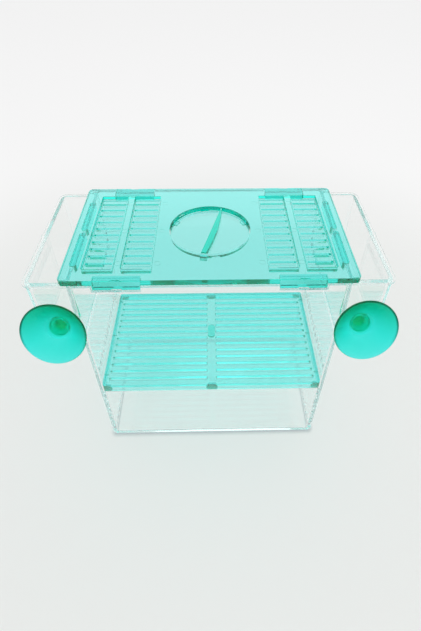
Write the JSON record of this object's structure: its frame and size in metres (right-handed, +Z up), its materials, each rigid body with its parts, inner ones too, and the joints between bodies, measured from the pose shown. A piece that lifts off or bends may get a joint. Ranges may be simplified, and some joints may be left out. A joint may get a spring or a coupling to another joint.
{
  "type": "fish breeding box",
  "caption": "Clear hang-on fish breeding box with a louvred green lid, a turning round feeding hatch, a slatted grate that parts fry from their mother, and suction cups.",
  "frame": {"origin": "centre of the tub's flat underside", "axes": "+X along the long side, -Y towards the suction cups and the aquarium's glass, +Z up"},
  "size_m": [0.2118, 0.1171, 0.1618],
  "materials": {
    "clear_plastic": "polished transparent",
    "green_plastic": "polished translucent",
    "soft_green": "smooth translucent soft vinyl"
  },
  "bodies": {
    "tub": {"tub": "clear_plastic"},
    "lid": {"lid": "green_plastic"},
    "hatch": {"feeding_hatch": "green_plastic"},
    "grate": {"grate": "green_plastic"},
    "cup_left": {"suction_cup_left": "soft_green"},
    "cup_right": {"suction_cup_right": "soft_green"}
  },
  "joints": [
    {"name": "lid_lift", "type": "slide", "parent": "tub", "child": "lid", "axis": [0, 0, 1], "range_m": [0, 0.15]},
    {"name": "grate_lift", "type": "slide", "parent": "tub", "child": "grate", "axis": [0, 0, 1], "range_m": [0, 0.12]},
    {"name": "hatch_turn", "type": "hinge", "parent": "lid", "child": "hatch", "pos_m": [0, 0, 0.1577], "axis": [0, 0, 1], "range_deg": [0, 40]},
    {"name": "cup_left_tilt", "type": "hinge", "parent": "tub", "child": "cup_left", "pos_m": [-0.0875, -0.0453, 0.128], "axis": [-1, 0, 0], "range_deg": [-46, 2]},
    {"name": "cup_right_tilt", "type": "hinge", "parent": "tub", "child": "cup_right", "pos_m": [0.0875, -0.0453, 0.128], "axis": [-1, 0, 0], "range_deg": [-46, 2]}
  ],
  "couplings": [
    {"joint": "grate_lift", "follows": "lid_lift", "ratio": 0.8}
  ]
}
